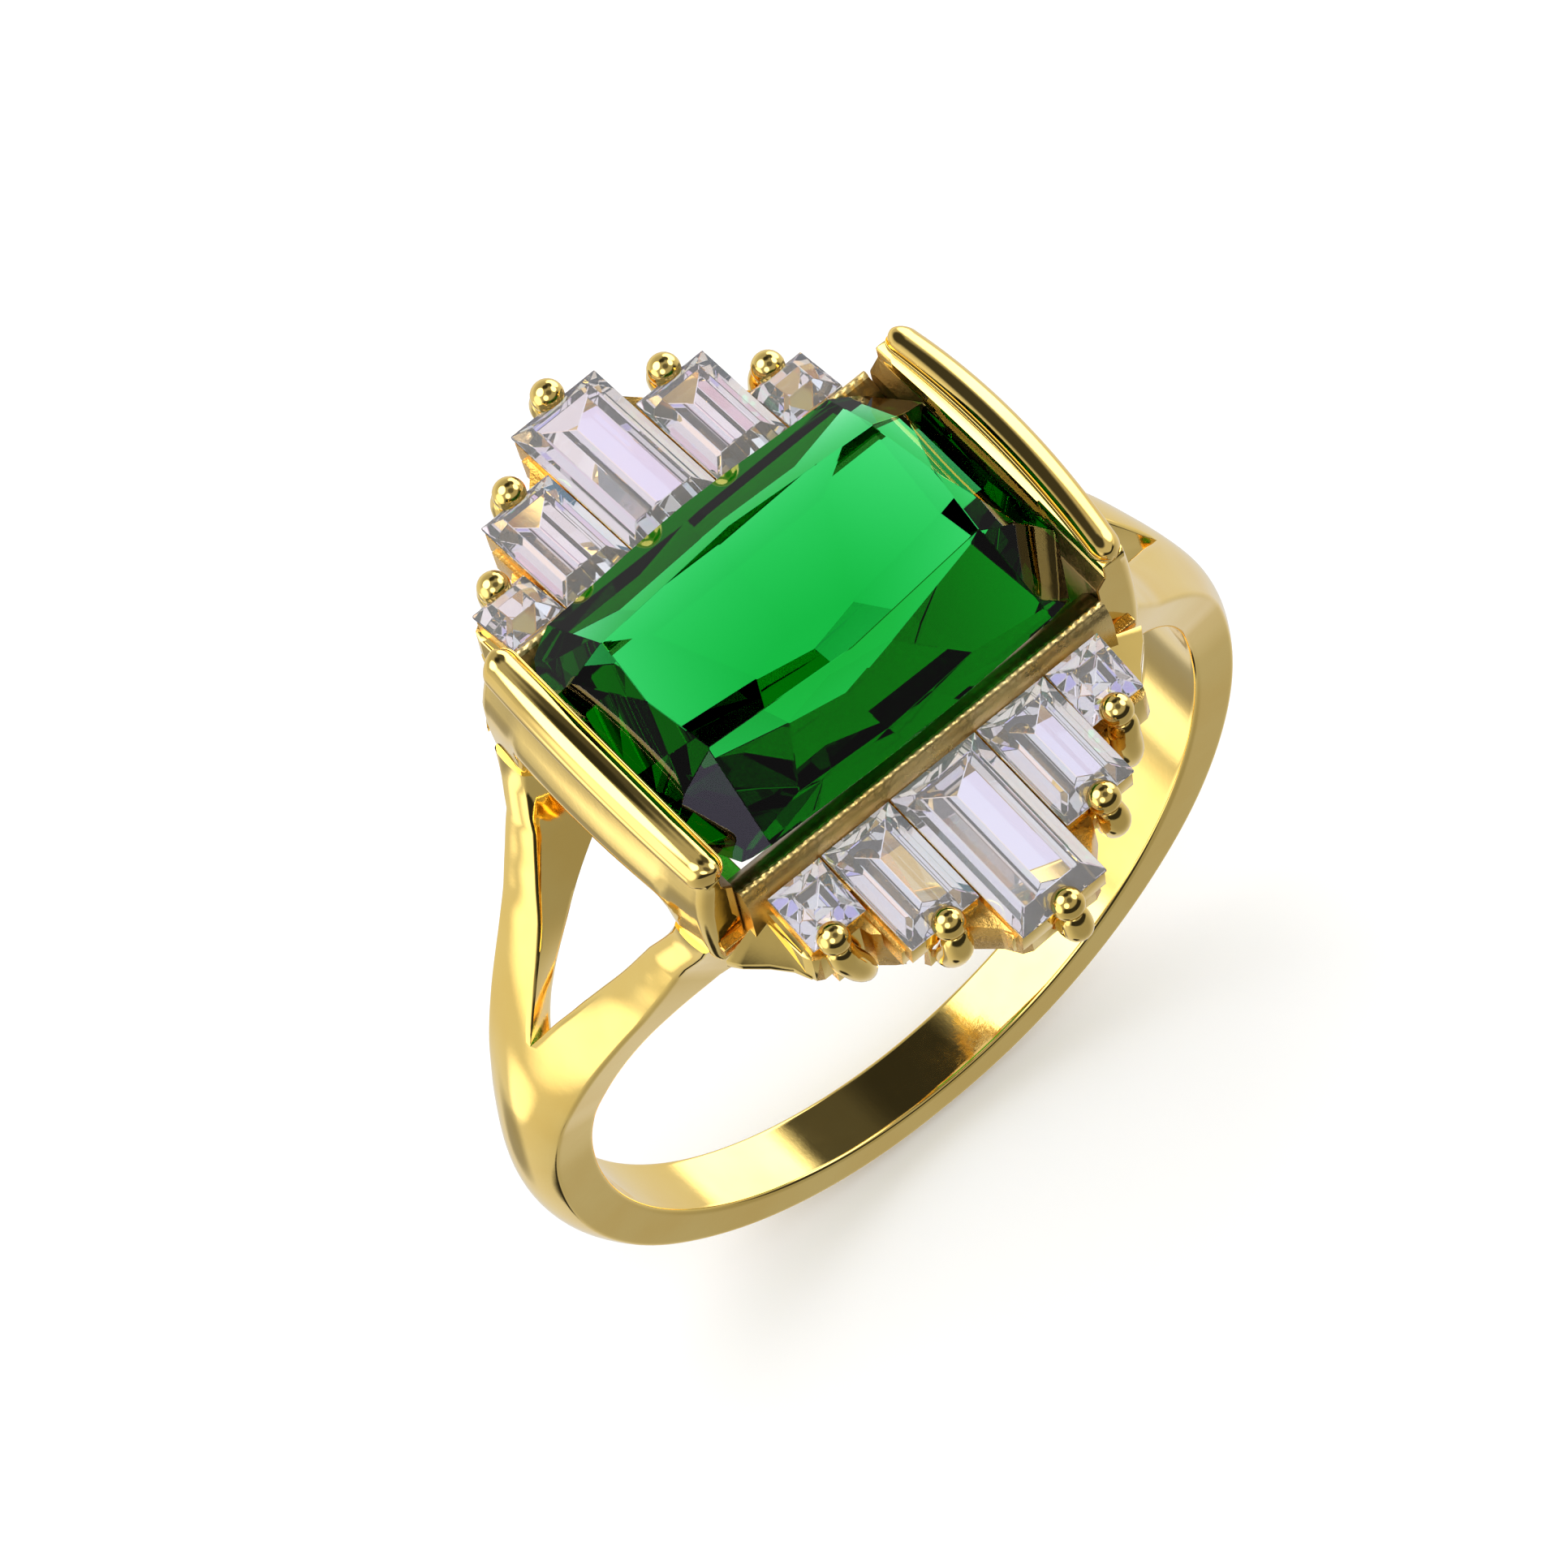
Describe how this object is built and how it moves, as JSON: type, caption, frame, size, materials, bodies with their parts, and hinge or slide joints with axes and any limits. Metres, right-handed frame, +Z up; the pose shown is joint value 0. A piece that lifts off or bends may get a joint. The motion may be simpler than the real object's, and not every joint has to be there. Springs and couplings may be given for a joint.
{
  "type": "cocktail ring",
  "caption": "Polished yellow-metal cocktail ring: split-shoulder band, large green rectangular stone between rounded end bars, stepped rows of clear baguettes with ball prongs.",
  "frame": {"origin": "centre of the finger hole, halfway across the band", "axes": "+Y along the finger, +Z up through the large stone, +X along the band and the stone's long side"},
  "size_m": [0.0202, 0.0186, 0.023],
  "materials": {
    "gold": "mirror-polished yellow gold plate with fine handling marks",
    "green_stone": "transparent saturated green, polished flat facets",
    "clear_stone": "colourless transparent, polished step-cut facets"
  },
  "bodies": {
    "root": {"shank": "gold", "gallery_frame": "gold", "end_wall_left": "gold", "end_wall_right": "gold", "bar_left": "gold", "bar_right": "gold", "side_rail_front": "gold", "side_rail_back": "gold", "seat_tray_front": "gold", "seat_tray_back": "gold", "centre_stone": "green_stone", "baguette_front_1": "clear_stone", "baguette_front_2": "clear_stone", "baguette_front_3": "clear_stone", "baguette_front_4": "clear_stone", "baguette_front_5": "clear_stone", "baguette_back_1": "clear_stone", "baguette_back_2": "clear_stone", "baguette_back_3": "clear_stone", "baguette_back_4": "clear_stone", "baguette_back_5": "clear_stone", "prong_front_1": "gold", "prong_front_2": "gold", "prong_front_3": "gold", "prong_front_4": "gold", "prong_front_5": "gold", "prong_back_1": "gold", "prong_back_2": "gold", "prong_back_3": "gold", "prong_back_4": "gold", "prong_back_5": "gold"}
  },
  "joints": []
}
